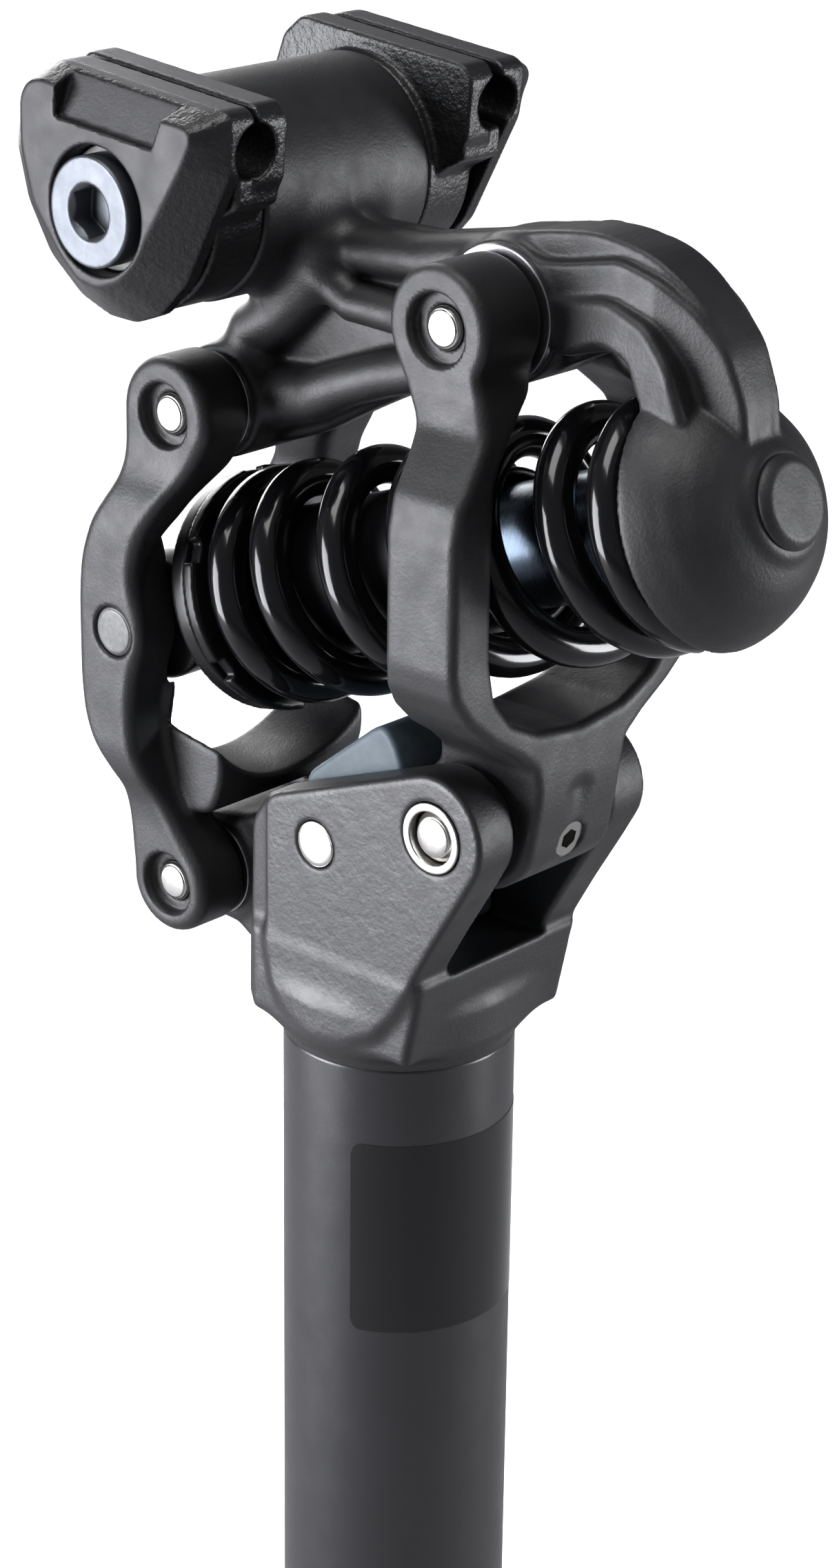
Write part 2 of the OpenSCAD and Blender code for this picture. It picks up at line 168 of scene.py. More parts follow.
# ---- forged and cast pieces ----
CHEEK = soft([(-9.6, 34.2), (-8.4, 35.6), *arc(A, 8.3, 112, -22), (25.1, 29.8), (20.7, 22.6),
              (16.3, 14.9), (13.5, 10.4), (10.2, 6.6), (5, 4.2), (-1, 3.8), (-5.8, 5.8), (-8.4, 9),
              (-9.6, 14)], 1.2)
HEAD_FLOOR = soft([(-13, 3), (-13, 15.5), (17.8, 15.5), (17.2, 12), (15.2, 3)], 0.8)
HEAD_BACK = soft([(-14.6, 4), (-8.9, 4), (-8.9, 34.6), (-11, 34.6), (-14, 30)], 1.5)
HEAD_TAIL = soft([(-9, 7), (-9, 32), (-14, 30), (-21, 26.5), (-27, 25), (-33, 22), (-30, 14), (-21, 7)], 3)


def head(x, y, z):
    w = abs(y)
    t = np.clip(z / 3.4, 0, 1)
    d = both(hyp(x, y) - (15.95 + 0.75 * t * t * (3 - 2 * t)), span(z, -0.2, 8), 0.15)
    d = join(d, both(outline(x, z, HEAD_FLOOR), w - 15.6, 1.2), 3.5)
    d = join(d, both(outline(x, z, HEAD_BACK), w - 14.6, 1.2), 2)
    d = join(d, both(outline(x, z, HEAD_TAIL), w - 7.5, 1.6), 2.5)
    d = join(d, rod(x, y, z, C, 7.5, -7.5, 7.5, 0.5), 2)
    d = join(d, both(outline(x, z, CHEEK), span(w, 9.4, 16.4), 0.8), 2)
    slot = both(both(-8.9 - x, 15.5 - z, 0.6), w - 9.4, 0.6)
    d = cut(d, slot, 0.35)
    for c, r in ((A, 4.78), (DOWEL, 3.25), (C, 4.0)):
        d = cut(d, hyp(x - c[0], z - c[1]) - r, 0.5)
    return high(d, 10.2 - hyp(x, y) - 99 * (z > 2))


STOP = soft([(-8.8, 15.6), (-8.8, 36.4), (3.2, 46), (5.2, 46.6), (7.2, 44.6), (8.6, 41), (8.6, 15.6)], 1.4)


def bump_stop(x, y, z):
    return cut(both(outline(x, z, STOP), abs(y) - 9.2, 0.7), hyp(x - DOWEL[0], z - DOWEL[1]) - 3.2)


FRONT_SIDE = soft([*arc(B, 8, -38, 205), (15.6, 95.6), (18.6, 91.4), (19.5, 85), (19.5, 62), (17.4, 56),
                   (14.8, 49.6), *arc(A, 9.4, 130, 300), (29, 32.5), (31, 43), (31, 84), (30.2, 90.5),
                   (28.4, 95)], 3)
ARM_OUTSIDE = [(6.6, 113), (17.5, 113), (17.5, 96), (18.6, 91.8), (21.4, 88), (24, 84.4), (25, 80),
               (25, 63.5), (24.2, 60), (21.6, 56.6), (17, 52.8), (12.2, 49.8), (9, 47.2), (8.3, 44),
               (8.3, 27)]
ARM_INSIDE = [(-6.6, 98), (-8.4, 95), (-11, 93), (-13.2, 91), (-15.6, 88.8), (-17.3, 85.6), (-17.7, 80),
              (-17.7, 64), (-16.6, 58.6), (-13.4, 54.8), (-8, 52.2)]
FRONT_FACE = soft([*ARM_OUTSIDE, *mirrored(ARM_OUTSIDE), *ARM_INSIDE, (0, 51.2), *mirrored(ARM_INSIDE)],
                  0.8, 3)


def front_link(x, y, z):
    w = abs(y)
    d = both(outline(x, z, FRONT_SIDE), outline(y, z, FRONT_FACE), 1.3)
    d = cut(d, both(hyp(x - B[0], z - B[1]) - 4.5, 15.6 - w), 0.5)
    sx, sz = x - A[0], z - A[1]                  # along the set screw's own axis
    k = math.radians(13.7)
    s, n = sx * math.cos(k) - sz * math.sin(k), sx * math.sin(k) + sz * math.cos(k)
    d = cut(d, both(hyp(n, y) - 2.5, 2 - s), 0.25)
    # the relief above the screw
    d = cut(d, vein(x, y, z, [(33.2, 0, 37.5, 3.2), (34.2, 0, 41.5, 4.2)]), 0.6)
    for c, r in ((A, AXLE_R), (B, PIN_R)):
        d = cut(d, hyp(x - c[0], z - c[1]) - r)
    return d


REAR_SIDE = soft([*arc(D, 7.8, -12, 186), (-34.5, 76.5), (-35.4, 72.4), (-38.4, 67.6), (-40.4, 62.4),
                  (-41, 57), (-41, 45), (-40.4, 39.6), (-38.6, 35.4), (-35.8, 31.6), (-35, 26),
                  *arc(C, 7, 172, 352), (-20.8, 20.4), (-24.9, 25), (-28.4, 30), (-30.6, 36), (-31.2, 42),
                  (-30.4, 47.4), (-28.8, 51.6), (-28.6, 54.6), (-30, 58.6), (-30.4, 62), (-29, 66.4),
                  (-25.4, 72), (-22, 76.4), (-19.6, 80.4)], 2.2)
REAR_FACE = soft([(8.6, 92), (17.5, 92), (17.5, 78), (18, 74.8), (19.8, 71.4), (20.5, 68), (20.5, 36),
                  (19.8, 32.6), (18, 29.4), (17.5, 26), (17.5, 9), (8.6, 9), (8.6, 25.4), (12.5, 31),
                  (12.5, 70), (8.6, 76)], 1.5)
REAR_WEB = soft([(-35, 29), (-28, 26.6), (-22, 28), (-20, 33), (-20, 44), (-30, 46)], 2)


def rear_link(x, y, z):
    w = abs(y)
    d = both(outline(x, z, REAR_SIDE), outline(w, z, REAR_FACE), 1.7)
    d = join(d, both(outline(x, z, REAR_WEB), w - 14, 1), 1.5)
    d = cut(d, both(both(hyp(y, z - 46.8) - 15.6, x, 0), w - 12.5), 0.8)
    sweep = 99.0                                 # room for the spring at every lift of the link, in degrees
    for lift in (0, 8, 16, 24, 31):
        s, n = along(x, z, lift)
        sweep = join(sweep, both(hyp(n, y) - 18.4, 6 - s), 1.5)
    d = cut(d, sweep, 1.2)
    d = cut(d, both(hyp(x - SEAT[0], z - SEAT[1]) - 13, w - 12.5), 0.3)
    for c in (C, D):
        d = cut(d, both(hyp(x - c[0], z - c[1]) - 4.3, 15.6 - w), 0.5)
        d = cut(d, hyp(x - c[0], z - c[1]) - PIN_R)
    return cut(d, hyp(x - SEAT[0], z - SEAT[1]) - SEAT_PIN_R, 0.4)


WEB = soft([(-33.4, 85), (-31, 90), (-26.8, 92.6), (-25, 97), (-24, 104), (-12, 108), (1, 109),
            (12, 110.6), (20, 112), (27, 108), (27, 100), (20, 95.2), (13, 94.6), (5.7, 90.6), (-5.2, 85),
            (-13.2, 80.5), (-21, 77.5)], 3)
ARM = soft([(16, 112), (26, 114.2), (34, 115.2), (42.4, 113.9), (48.6, 110.2), (53, 105.2), (55.9, 99.2),
            (57.6, 91), (46, 88), (43.4, 97), (39, 102), (33, 99.6), (26, 96.4), (20, 96)], 3)
ARM_MID = soft([(24, 110.6), (29.6, 111), (38.5, 112.8), (44.4, 111.4), (49.7, 108.3), (53.9, 104.2),
                (56.4, 98.4), (57.4, 91), (46, 88), (43.4, 97), (39, 102), (30, 99.6)], 1.5)
ARM_SIDE = soft([(24, 106), (31.5, 107.2), (38.1, 108.2), (44.6, 106.3), (48.7, 102), (51.2, 96),
                 (52.6, 89), (44, 86), (44.6, 95), (41.6, 101.4), (37, 102.4), (30, 99.6)], 1.5)
DOME = soft([(0, -2), (16.6, -2), (16.6, 0.8), (15.7, 3.2), (14.2, 5.9), (12.2, 8.3), (10.2, 9.9),
             (8.2, 11), (5, 12.3), (0, 12.3)], 0.8)
# the web's ridges, each a chain of (x, y, z, radius) knots with its fillet
RIDGES = (
    ([(D[0], 2.6, D[1], 5), (-20, 3, 84.4, 4.2), (-13, 3.4, 86, 3.4), (-7, 3.6, 88.8, 3),
      (-0.6, 3.4, 91.2, 2.9), (5.8, 3, 93, 2.8), (13, 2.4, 96.6, 3), (B[0], 1.6, B[1], 4)], 1.6),
    ([(D[0], 2.6, D[1], 5.2), (-23.6, 3, 92.6, 3.9), (-18.3, 3.4, 96, 3.4), (-10.8, 3.9, 102.8, 3.3),
      (-10.4, 3.7, 106.4, 3.4), (-16, 2.4, 112, 3.6)], 1.8),
    ([(-10.8, 3.9, 102.8, 3), (-5.5, 3.9, 99.8, 2.6), (2.6, 3.5, 99.4, 2.6), (9, 2.8, 100.8, 2.8),
      (B[0], 1.8, B[1], 4)], 1.3),
    ([(-15, 1.6, 108, 3.4), (-6, 1.9, 106.4, 3.1), (5.1, 2, 106.8, 2.9), (12, 1.8, 108, 3.1),
      (22, 1.6, 109.6, 3.4)], 1.3),
)


def upper_frame(x, y, z):
    w = abs(y)
    s, n = along(x, z)
    d = rod(x, y, z, BARREL, 14.1, -15, 15, 0.6)
    body = both(outline(x, z, WEB), w - 2, 1)
    body = join(body, rod(x, y, z, D, 7.6, -7.5, 7.5, 0.8), 2)
    body = join(body, rod(x, y, z, B, 9, -5.5, 5.5, 0.4), 1)
    for chain, k in RIDGES:
        body = join(body, vein(x, w, z, chain), k)
    d = join(d, body, 3.2)
    # the arm's three terraces, each with its own half width
    crown_half = np.clip((z - 94) / 18, 0, 1) * 2.6 + 1.4
    mid_half = np.clip(5.6 - (x - 44) * 0.16, 2.8, 5.6)
    side_half = np.clip(5.4 + (x - 24) * 0.13, 5.4, 8.6)
    arm = both(outline(x, z, ARM), w - crown_half, 0.7)
    arm = join(arm, both(outline(x, z, ARM_MID), w - mid_half, 0.8), 0.8)
    arm = join(arm, both(outline(x, z, ARM_SIDE), w - side_half, 1.1), 0.8)
    d = join(d, arm, 1.2)
    cup = outline(hyp(n, y), s - 88.3, DOME)
    cup = both(cup, 88.3 - s, 0.5)
    d = join(d, cup, 0.5)
    d = join(d, both(hyp(n, y) - 7.4 + (s - 99) * 0.5, span(s, 96, 100.6), 0.6), 0.9)
    d = cut(d, both(hyp(n, y) - 17.2, span(s, 20, 88.28)), 0.3)
    d = cut(d, both(hyp(n, y) - 8.7, s - 97))
    for c, r in ((BARREL, 4.2), (B, BUSH_R), (D, BUSH_R)):
        d = cut(d, hyp(x - c[0], z - c[1]) - r)
    return d


OUTER = soft([(-11, 16), (17.2, 16), (18.5, 14.8), (18.5, 8.5), (12.2, -6.8), (8, -12), (3.6, -14.2),
              (-1, -14.5), (-6.4, -13.2), (-12.4, -9.4), (-17, -3.4), (-19.4, 3), (-19.4, 7.6),
              (-17.6, 11.6), (-14.6, 14.6)], 1.0)
FACE = soft([(-11.4, 13.9), (15.2, 13.9), (15.9, 12.6), (14.2, 8.6), (7.2, -4.6), (4.4, -7.9), (1, -9.6),
             (-2.6, -9.4), (-6, -7), (-11.2, -1.6), (-13.8, 5), (-14.4, 11), (-13.4, 13)], 1.0)
POCKET = [(-8.3, 18), (12.2, 18), (11.2, 15.9), (8.9, 9.2), (-7.9, 9.2)]


def outer_jaw(x, y, z):
    w = abs(y)
    x, z = in_clamp(x, z)
    t = np.clip((w - 26.4) / 4.6, 0, 1)           # bevels from the outline to the smaller face
    d = both(((1 - t) * outline(x, z, OUTER) + t * outline(x, z, FACE)) * 0.82, span(w, 22.5, 31), 0.35)
    d = cut(d, both(z - 8, w - 24.4), 0.2)        # steps in over the inner jaw's foot
    pocket_floor = high(27.5 + (16 - z) * 0.4 - w, 10 - z) * 0.93
    d = cut(d, both(outline(x, z, POCKET), pocket_floor, 0), 0.15)
    d = cut(d, hyp(w - RAIL_Y, z - RAIL_Z) - RAIL_R, 0.4)
    d = cut(d, both(hyp(x, z) - 8.1, 27 - w), 0.5)
    return cut(d, hyp(x, z) - BOLT_BORE)


BLOCK = soft([(-15.5, 2), (-17, 8), (-15.6, 13), (-12.6, 16), (16.6, 16), (18.3, 14.2), (18.3, 6.5),
              (14, 1)], 0.8)
FOOT = soft([(-15, 1.5), (-16.4, 7.4), (17.6, 7.4), (17.8, 3.6), (13, 0.5)], 0.8)


def inner_jaw(x, y, z):
    w = abs(y)
    x, z = in_clamp(x, z)
    d = both(hyp(x, z) - 13.8, span(w, 15.1, 23.4), 0.6)
    d = join(d, both(outline(x, z, BLOCK), span(w, 16.6, 21.3), 0.5), 0.8)
    d = join(d, both(outline(x, z, FOOT), span(w, 16.8, 24.2), 0.7), 0.8)
    d = cut(d, hyp(w - RAIL_Y, z - RAIL_Z) - RAIL_R, 0.3)
    return cut(d, hyp(x, z) - BOLT_BORE)


def clamp_bolt(x, y, z):
    x, z = in_clamp(x, z)
    r = hyp(x, z)
    shank = both(r - 4, span(y, -28, 30), 0.4)
    bolt_head = both(both(r - 7, span(y, -32, -28), 0.35), -32.6 - y + (r - 6.2) * 0.5)
    hexagon = high(abs(x), high(abs(x * 0.5 + z * 0.866), abs(x * 0.5 - z * 0.866))) - 3.0
    chamfer = both(r - 3.7 - (y + 32) * -0.9, y + 31.2)
    return cut(join(shank, bolt_head), join(both(hexagon, y + 28.6), chamfer), 0.1)


SEAT_RIM = soft([(8, 5), (12, 5), (12.2, 7), (16.2, 8.2), (16.2, 10.95), (8, 10.95)], 0.4)


def spring_seat(x, y, z):
    s, n = along(x, z)
    r = hyp(n, y)
    d = both(hyp(x - SEAT[0], z - SEAT[1]) - 8.5, abs(y) - 12.3, 0.7)
    d = join(d, both(r - 10.2, span(s, 0, 58), 0.7), 1.5)
    d = join(d, outline(r, s, SEAT_RIM), 0.3)
    d = cut(d, both(r - 8.9, 18 - s), 0.5)
    return cut(d, hyp(x - SEAT[0], z - SEAT[1]) - 3.55)


def preload_ring(x, y, z):
    s, n = along(x, z)
    r = hyp(n, y)
    d = both(r - 16.6, span(s, 11, 13), 0.35)
    a = np.arctan2(y, n)
    k = np.round(a / (math.pi / 3)) * (math.pi / 3)   # the nearest of six notches
    u, v = n * np.cos(k) + y * np.sin(k), y * np.cos(k) - n * np.sin(k)
    d = cut(d, both(15.4 - u, abs(v) - 1.5, 0), 0.2)
    return high(d, 10.25 - r)


# ---- meshes ----
def add_mesh(name, verts, faces, normals, body, node):
    """A piece in the row frame, from millimetre vertices measured from the tube's top."""
    mesh = bpy.data.meshes.new(name)
    mesh.from_pydata(((verts + (0, 0, TUBE)) / 1000).tolist(), [], faces.tolist())
    mesh.validate()
    mesh.shade_smooth()
    mesh.normals_split_custom_set_from_vertices(normals.tolist())
    o = bpy.data.objects.new(name, mesh)
    bpy.context.scene.collection.objects.link(o)
    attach(o, body)
    if node:
        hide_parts(node)
    return o


def forged(node, field, body, step=0.5, grow=1.5):
    """Surface nets over a field, evaluated only in the blocks that the surface may cross."""
    lo, hi = (np.array(v) * 1000 - (0, 0, TUBE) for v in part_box(node))
    lo, hi = lo - grow, hi + grow
    side = 8
    blocks = np.ceil((hi - lo) / (step * side)).astype(int)
    mid = [lo[i] + (np.arange(blocks[i]) + 0.5) * side * step for i in range(3)]
    rough = field(mid[0][:, None, None], mid[1][None, :, None], mid[2][None, None, :])
    rough = np.broadcast_to(rough, blocks)
    v = np.repeat(np.repeat(np.repeat(rough, side, 0), side, 1), side, 2).astype(np.float32)
    keep = np.argwhere(abs(rough) < 1.15 * side * step)
    inner = np.arange(side)
    x, y, z = (lo[i] + (keep[:, i, None] * side + inner) * step for i in range(3))
    fine = field(x[:, :, None, None], y[:, None, :, None], z[:, None, None, :])
    fine = np.broadcast_to(fine, (len(keep), side, side, side))
    for (i, j, k), f in zip(keep * side, fine):
        v[i:i + side, j:j + side, k:k + side] = f
    inside = v < 0
    cells = np.array(v.shape) - 1
    total, count = np.zeros((3, cells.prod())), np.zeros(cells.prod())
    quads = []
    for axis in range(3):
        a, b = [slice(None)] * 3, [slice(None)] * 3
        a[axis], b[axis] = slice(0, -1), slice(1, None)
        at = np.argwhere(inside[tuple(a)] != inside[tuple(b)])
        p, q = [(axis + 1) % 3, (axis + 2) % 3]
        at = at[(at[:, p] > 0) & (at[:, q] > 0) & (at[:, p] < cells[p]) & (at[:, q] < cells[q])]
        v0 = v[tuple(at.T)]
        other = at.copy()
        other[:, axis] += 1
        t = v0 / (v0 - v[tuple(other.T)])
        point = at.astype(float)
        point[:, axis] += t
        ring = []
        for dp, dq in ((0, 0), (-1, 0), (-1, -1), (0, -1)):
            c = at.copy()
            c[:, p] += dp
            c[:, q] += dq
            ids = np.ravel_multi_index(tuple(c.T), cells)
            ring.append(ids)
            count += np.bincount(ids, minlength=len(count))
            for i in range(3):
                total[i] += np.bincount(ids, point[:, i], len(count))
        ring = np.stack(ring, 1)
        quads.append(np.where((v0 < 0)[:, None], ring, ring[:, ::-1]))
    used = np.flatnonzero(count)
    index = np.full(len(count), -1)
    index[used] = np.arange(len(used))
    faces = index[np.concatenate(quads)]
    g = (total[:, used] / count[used]).T

    def sample(grid, g):
        f = np.clip(np.floor(g).astype(int), 1, np.array(grid.shape[:3]) - 3)
        r = g - f
        out = 0
        share = (1 - r, r)
        for i in (0, 1):
            for j in (0, 1):
                for k in (0, 1):
                    w = share[i][:, 0] * share[j][:, 1] * share[k][:, 2]
                    out = out + w * grid[f[:, 0] + i, f[:, 1] + j, f[:, 2] + k]
        return out

    def slope(g):
        e = 0.6
        steps = np.eye(3) * e
        return np.stack([sample(v, g + h) - sample(v, g - h) for h in steps], 1) / (2 * e)

    start = g.copy()
    for _ in range(3):
        grad = slope(g)
        g = g - np.clip(sample(v, g) / ((grad ** 2).sum(1) + 1e-9), -0.5, 0.5)[:, None] * grad
        g = start + np.clip(g - start, -0.7, 0.7)
    normals = slope(g)
    normals /= np.linalg.norm(normals, axis=1)[:, None] + 1e-12
    return add_mesh(node + "_piece", lo + g * step, faces, normals, body, node)


def turned(name, node, body, profile, at, axis, sides=96, mirror=False):
    """A piece turned about an axis: profile is a closed outline of (radius, distance along the axis)."""
    w = np.array(axis, float)
    w /= np.linalg.norm(w)
    u = np.cross(w, (0, 0, 1) if abs(w[2]) < 0.9 else (1, 0, 0))
    u /= np.linalg.norm(u)
    t = np.cross(w, u)
    p = np.array(profile, float)
    n = len(p)
    edge = np.roll(p, -1, 0) - p
    out = np.stack([edge[:, 1], -edge[:, 0]], 1)    # length-weighted, so flats stay flat
    out[(p[:, 0] < 0.05) & (np.roll(p[:, 0], -1) < 0.05)] = 0
    nrm = out + np.roll(out, 1, 0)
    area = (p[:, 0] * np.roll(p[:, 1], -1) - np.roll(p[:, 0], -1) * p[:, 1]).sum()
    nrm *= 1 if area > 0 else -1
    nrm /= np.linalg.norm(nrm, axis=1)[:, None] + 1e-12
    a = np.arange(sides) * 2 * math.pi / sides
    ring = np.cos(a)[:, None, None] * u + np.sin(a)[:, None, None] * t
    verts = (ring * p[None, :, 0, None] + p[None, :, 1, None] * w + np.array(at, float)).reshape(-1, 3)
    normals = (ring * nrm[None, :, 0, None] + nrm[None, :, 1, None] * w).reshape(-1, 3)
    i, j = np.meshgrid(np.arange(sides), np.arange(n), indexing="ij")
    k, l = (i + 1) % sides, (j + 1) % n
    faces = np.stack([i * n + j, k * n + j, k * n + l, i * n + l], -1).reshape(-1, 4)
    if area < 0:
        faces = faces[:, ::-1]
    if mirror:                                     # its twin on the far side
        verts = np.concatenate([verts, verts * (1, -1, 1)])
        normals = np.concatenate([normals, normals * (1, -1, 1)])
        faces = np.concatenate([faces, faces[:, ::-1] + sides * n])
    return add_mesh(name, verts, faces, normals, body, node)


def pin(node, body, c, r, half, edge=0.6, dome=0.0):
    """A pin across the post, with chamfered ends that bulge by dome."""
    mid = [(r * (1 - t), half + dome * (1 - (1 - t) ** 2)) for t in (0.25, 0.5, 0.75)]
    end = soft([(r, 0), (r, half - edge * 0.9), (r - edge, half)], 0.3, 3)[4:]
    side = [*end[:-1], (r - edge, half), *[(min(a, r - edge), b) for a, b in mid], (0.02, half + dome)]
    profile = side + [(a, -b) for a, b in side[::-1]]
    return turned(node + "_piece", node, body, profile, (c[0], 0, c[1]), (0, 1, 0), 64)


def bush(node, body, c, inner, outer, start, stop, flange=0, lip=0):
    """A bush and its twin, from y = start to y = stop, with any flange beyond that, of radius lip."""
    shape = [(inner, start), (outer, start), (outer, stop)]
    if flange:
        shape += [(lip, stop), (lip, stop + flange)]
    shape += [(inner, stop + flange)]
    at = (c[0], 0, c[1])
    return turned(node + "_piece", node, body, soft(shape, 0.22, 3), at, (0, 1, 0), mirror=True)


def on_spring(s):
    return (SEAT[0] + s * UX, 0, SEAT[1] + s * UZ)


def coil():
    """The spring: six and a half turns, with its end turns closed up."""
    turns, wire, mean, around, per = 6.5, 2.6, 13.6, 24, 72
    first, free = SPRING_START + wire, SPRING_STOP - SPRING_START - 2 * wire
    phase = math.radians(165)
    rings = int(turns * per) + 1
    i = np.arange(rings) / per
    dead, dead_rise = 0.75, 1.15 * wire                # each closed end: turns, and how far they climb
    rise = np.where(i < dead, dead_rise * i / dead, np.where(
        i > turns - dead, free - dead_rise * (turns - i) / dead,
        dead_rise + (free - 2 * dead_rise) * (i - dead) / (turns - 2 * dead)))
    blur = 9                                           # rings either side that ease the change of pitch
    width = 2 * blur + 1
    rise = np.convolve(np.pad(rise, blur, "edge"), np.ones(width) / width, "valid")
    a = 2 * math.pi * i + phase
    u, w = np.array((UX, 0, UZ)), np.array((0, 1.0, 0))
    v = np.array((UZ, 0, -UX))
    radial = np.cos(a)[:, None] * v + np.sin(a)[:, None] * w
    centre = np.array(on_spring(first)) + radial * mean + rise[:, None] * u
    b = np.arange(around) * 2 * math.pi / around
    normals = radial[:, None] * np.cos(b)[None, :, None] + u * np.sin(b)[None, :, None]
    verts = centre[:, None] + normals * wire
    rows = [verts.reshape(-1, 3)]
    nrm = [normals.reshape(-1, 3)]
    i, j = np.meshgrid(np.arange(rings - 1), np.arange(around), indexing="ij")
    k = (j + 1) % around
    faces = np.stack([i * around + j, (i + 1) * around + j, (i + 1) * around + k, i * around + k], -1)
    faces = faces.reshape(-1, 4)
    start = rings * around
    for ring, sign in ((0, -1), (rings - 1, 1)):       # flat ends
        tangent = sign * (centre[min(ring + 1, rings - 1)] - centre[max(ring - 1, 0)])
        tangent /= np.linalg.norm(tangent)
        rows += [verts[ring], centre[ring][None]]
        nrm += [np.tile(tangent, (around, 1)), tangent[None]]
        j = np.arange(around)
        tri = np.stack([start + j, start + (j + 1) % around, np.full(around, start + around),
                        np.full(around, start + around)], -1)
        faces = np.concatenate([faces, tri if sign < 0 else tri[:, [1, 0, 2, 3]]])
        start += around + 1
    quads = [f[:3] if f[2] == f[3] else f for f in faces.tolist()]
    mesh = bpy.data.meshes.new("spring_piece")
    mesh.from_pydata(((np.concatenate(rows) + (0, 0, TUBE)) / 1000).tolist(), [], quads)
    mesh.shade_smooth()
    mesh.normals_split_custom_set_from_vertices(np.concatenate(nrm).tolist())
    o = bpy.data.objects.new("spring_piece", mesh)
    bpy.context.scene.collection.objects.link(o)
    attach(o, "spring_seat")
    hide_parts("spring")
    # a little shorter at full travel than the gap on the axis, since the cup's face tilts there
    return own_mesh(o)


def decal():
    """A thin gloss film with rounded corners on the front of the tube."""
    cols, rows, r = 96, 40, TUBE_R + 0.06
    a0, a1, z0, z1, corner = math.radians(-71), math.radians(71), -39.6, -11.2, 1.6
    verts, normals, faces = [], [], []
    for i in range(cols + 1):
        a = a0 + (a1 - a0) * i / cols
        edge = min(i, cols - i) / cols * (a1 - a0) * r
        k = corner - math.sqrt(max(corner ** 2 - (corner - min(edge, corner)) ** 2, 0))
        for j in range(rows + 1):
            z = z0 + k + (z1 - z0 - 2 * k) * j / rows
            verts.append((r * math.cos(a), r * math.sin(a), z))
            normals.append((math.cos(a), math.sin(a), 0))
    for i in range(cols):
        for j in range(rows):
            p = i * (rows + 1) + j
            faces.append((p, p + rows + 1, p + rows + 2, p + 1))
    verts, faces, normals = np.array(verts), np.array(faces), np.array(normals)
    return add_mesh("gloss_film", verts, faces, normals, "post", None)


# ---- materials ----
def material(name, base, rough, metal=0.0, vary=0.25, grain=(), coat=0.0, stretch=None, tint=None,
             spec=0.5):
    """Principled with noise in colour, roughness and bump.

    grain is (size in mm, depth in mm) pairs, stretch is the noise's (rotation, scale).
    """
    m = bpy.data.materials.new(name)
    m.use_nodes = True
    t = m.node_tree
    n, link = t.nodes, t.links.new
    p = n["Principled BSDF"]
    p.inputs["Metallic"].default_value = metal
    p.inputs["Coat Weight"].default_value = coat
    p.inputs["Coat Roughness"].default_value = 0.06
    p.inputs["Specular IOR Level"].default_value = spec
    place = n.new("ShaderNodeTexCoord")

    def noise(size_mm, detail=3.0, roughness=0.55):
        tex = n.new("ShaderNodeTexNoise")
        tex.inputs["Scale"].default_value = 1000 / size_mm
        tex.inputs["Detail"].default_value = detail
        tex.inputs["Roughness"].default_value = roughness
        source = place.outputs["Object"]
        if stretch:
            mapping = n.new("ShaderNodeMapping")
            mapping.inputs["Rotation"].default_value = stretch[0]
            mapping.inputs["Scale"].default_value = stretch[1]
            link(source, mapping.inputs["Vector"])
            source = mapping.outputs["Vector"]
        link(source, tex.inputs["Vector"])
        return tex.outputs["Fac"]

    def spread(value, a, b, lo=0.3, hi=0.7):
        r = n.new("ShaderNodeMapRange")
        for key, x in (("From Min", lo), ("From Max", hi), ("To Min", a), ("To Max", b)):
            r.inputs[key].default_value = x
        link(value, r.inputs["Value"])
        return r.outputs["Result"]

    wide, fine = noise(9, 4), noise(grain[0][0] if grain else 0.6, 2)
    mix = n.new("ShaderNodeMix")
    mix.data_type = "RGBA"
    dark = [c * (1 - vary) for c in base]
    light = [c * (1 + vary) for c in (tint or base)]
    mix.inputs["A"].default_value = (*dark, 1)
    mix.inputs["B"].default_value = (*light, 1)
    add = n.new("ShaderNodeMath")
    add.operation = "ADD"
    link(spread(wide, 0.0, 0.5), add.inputs[0])
    link(spread(fine, 0.0, 0.5), add.inputs[1])
    link(add.outputs[0], mix.inputs["Factor"])
    link(mix.outputs["Result"], p.inputs["Base Color"])
    link(spread(noise(4, 4), rough * 0.88, min(rough * 1.12, 1.0)), p.inputs["Roughness"])
    last = None
    for size_mm, depth in grain:
        bump = n.new("ShaderNodeBump")
        bump.inputs["Strength"].default_value = 1.0
        bump.inputs["Distance"].default_value = depth / 1000
        link(noise(size_mm, 2.5, 0.6), bump.inputs["Height"])
        if last:
            link(last, bump.inputs["Normal"])
        last = bump.outputs["Normal"]
    if last:
        link(last, p.inputs["Normal"])
    return m


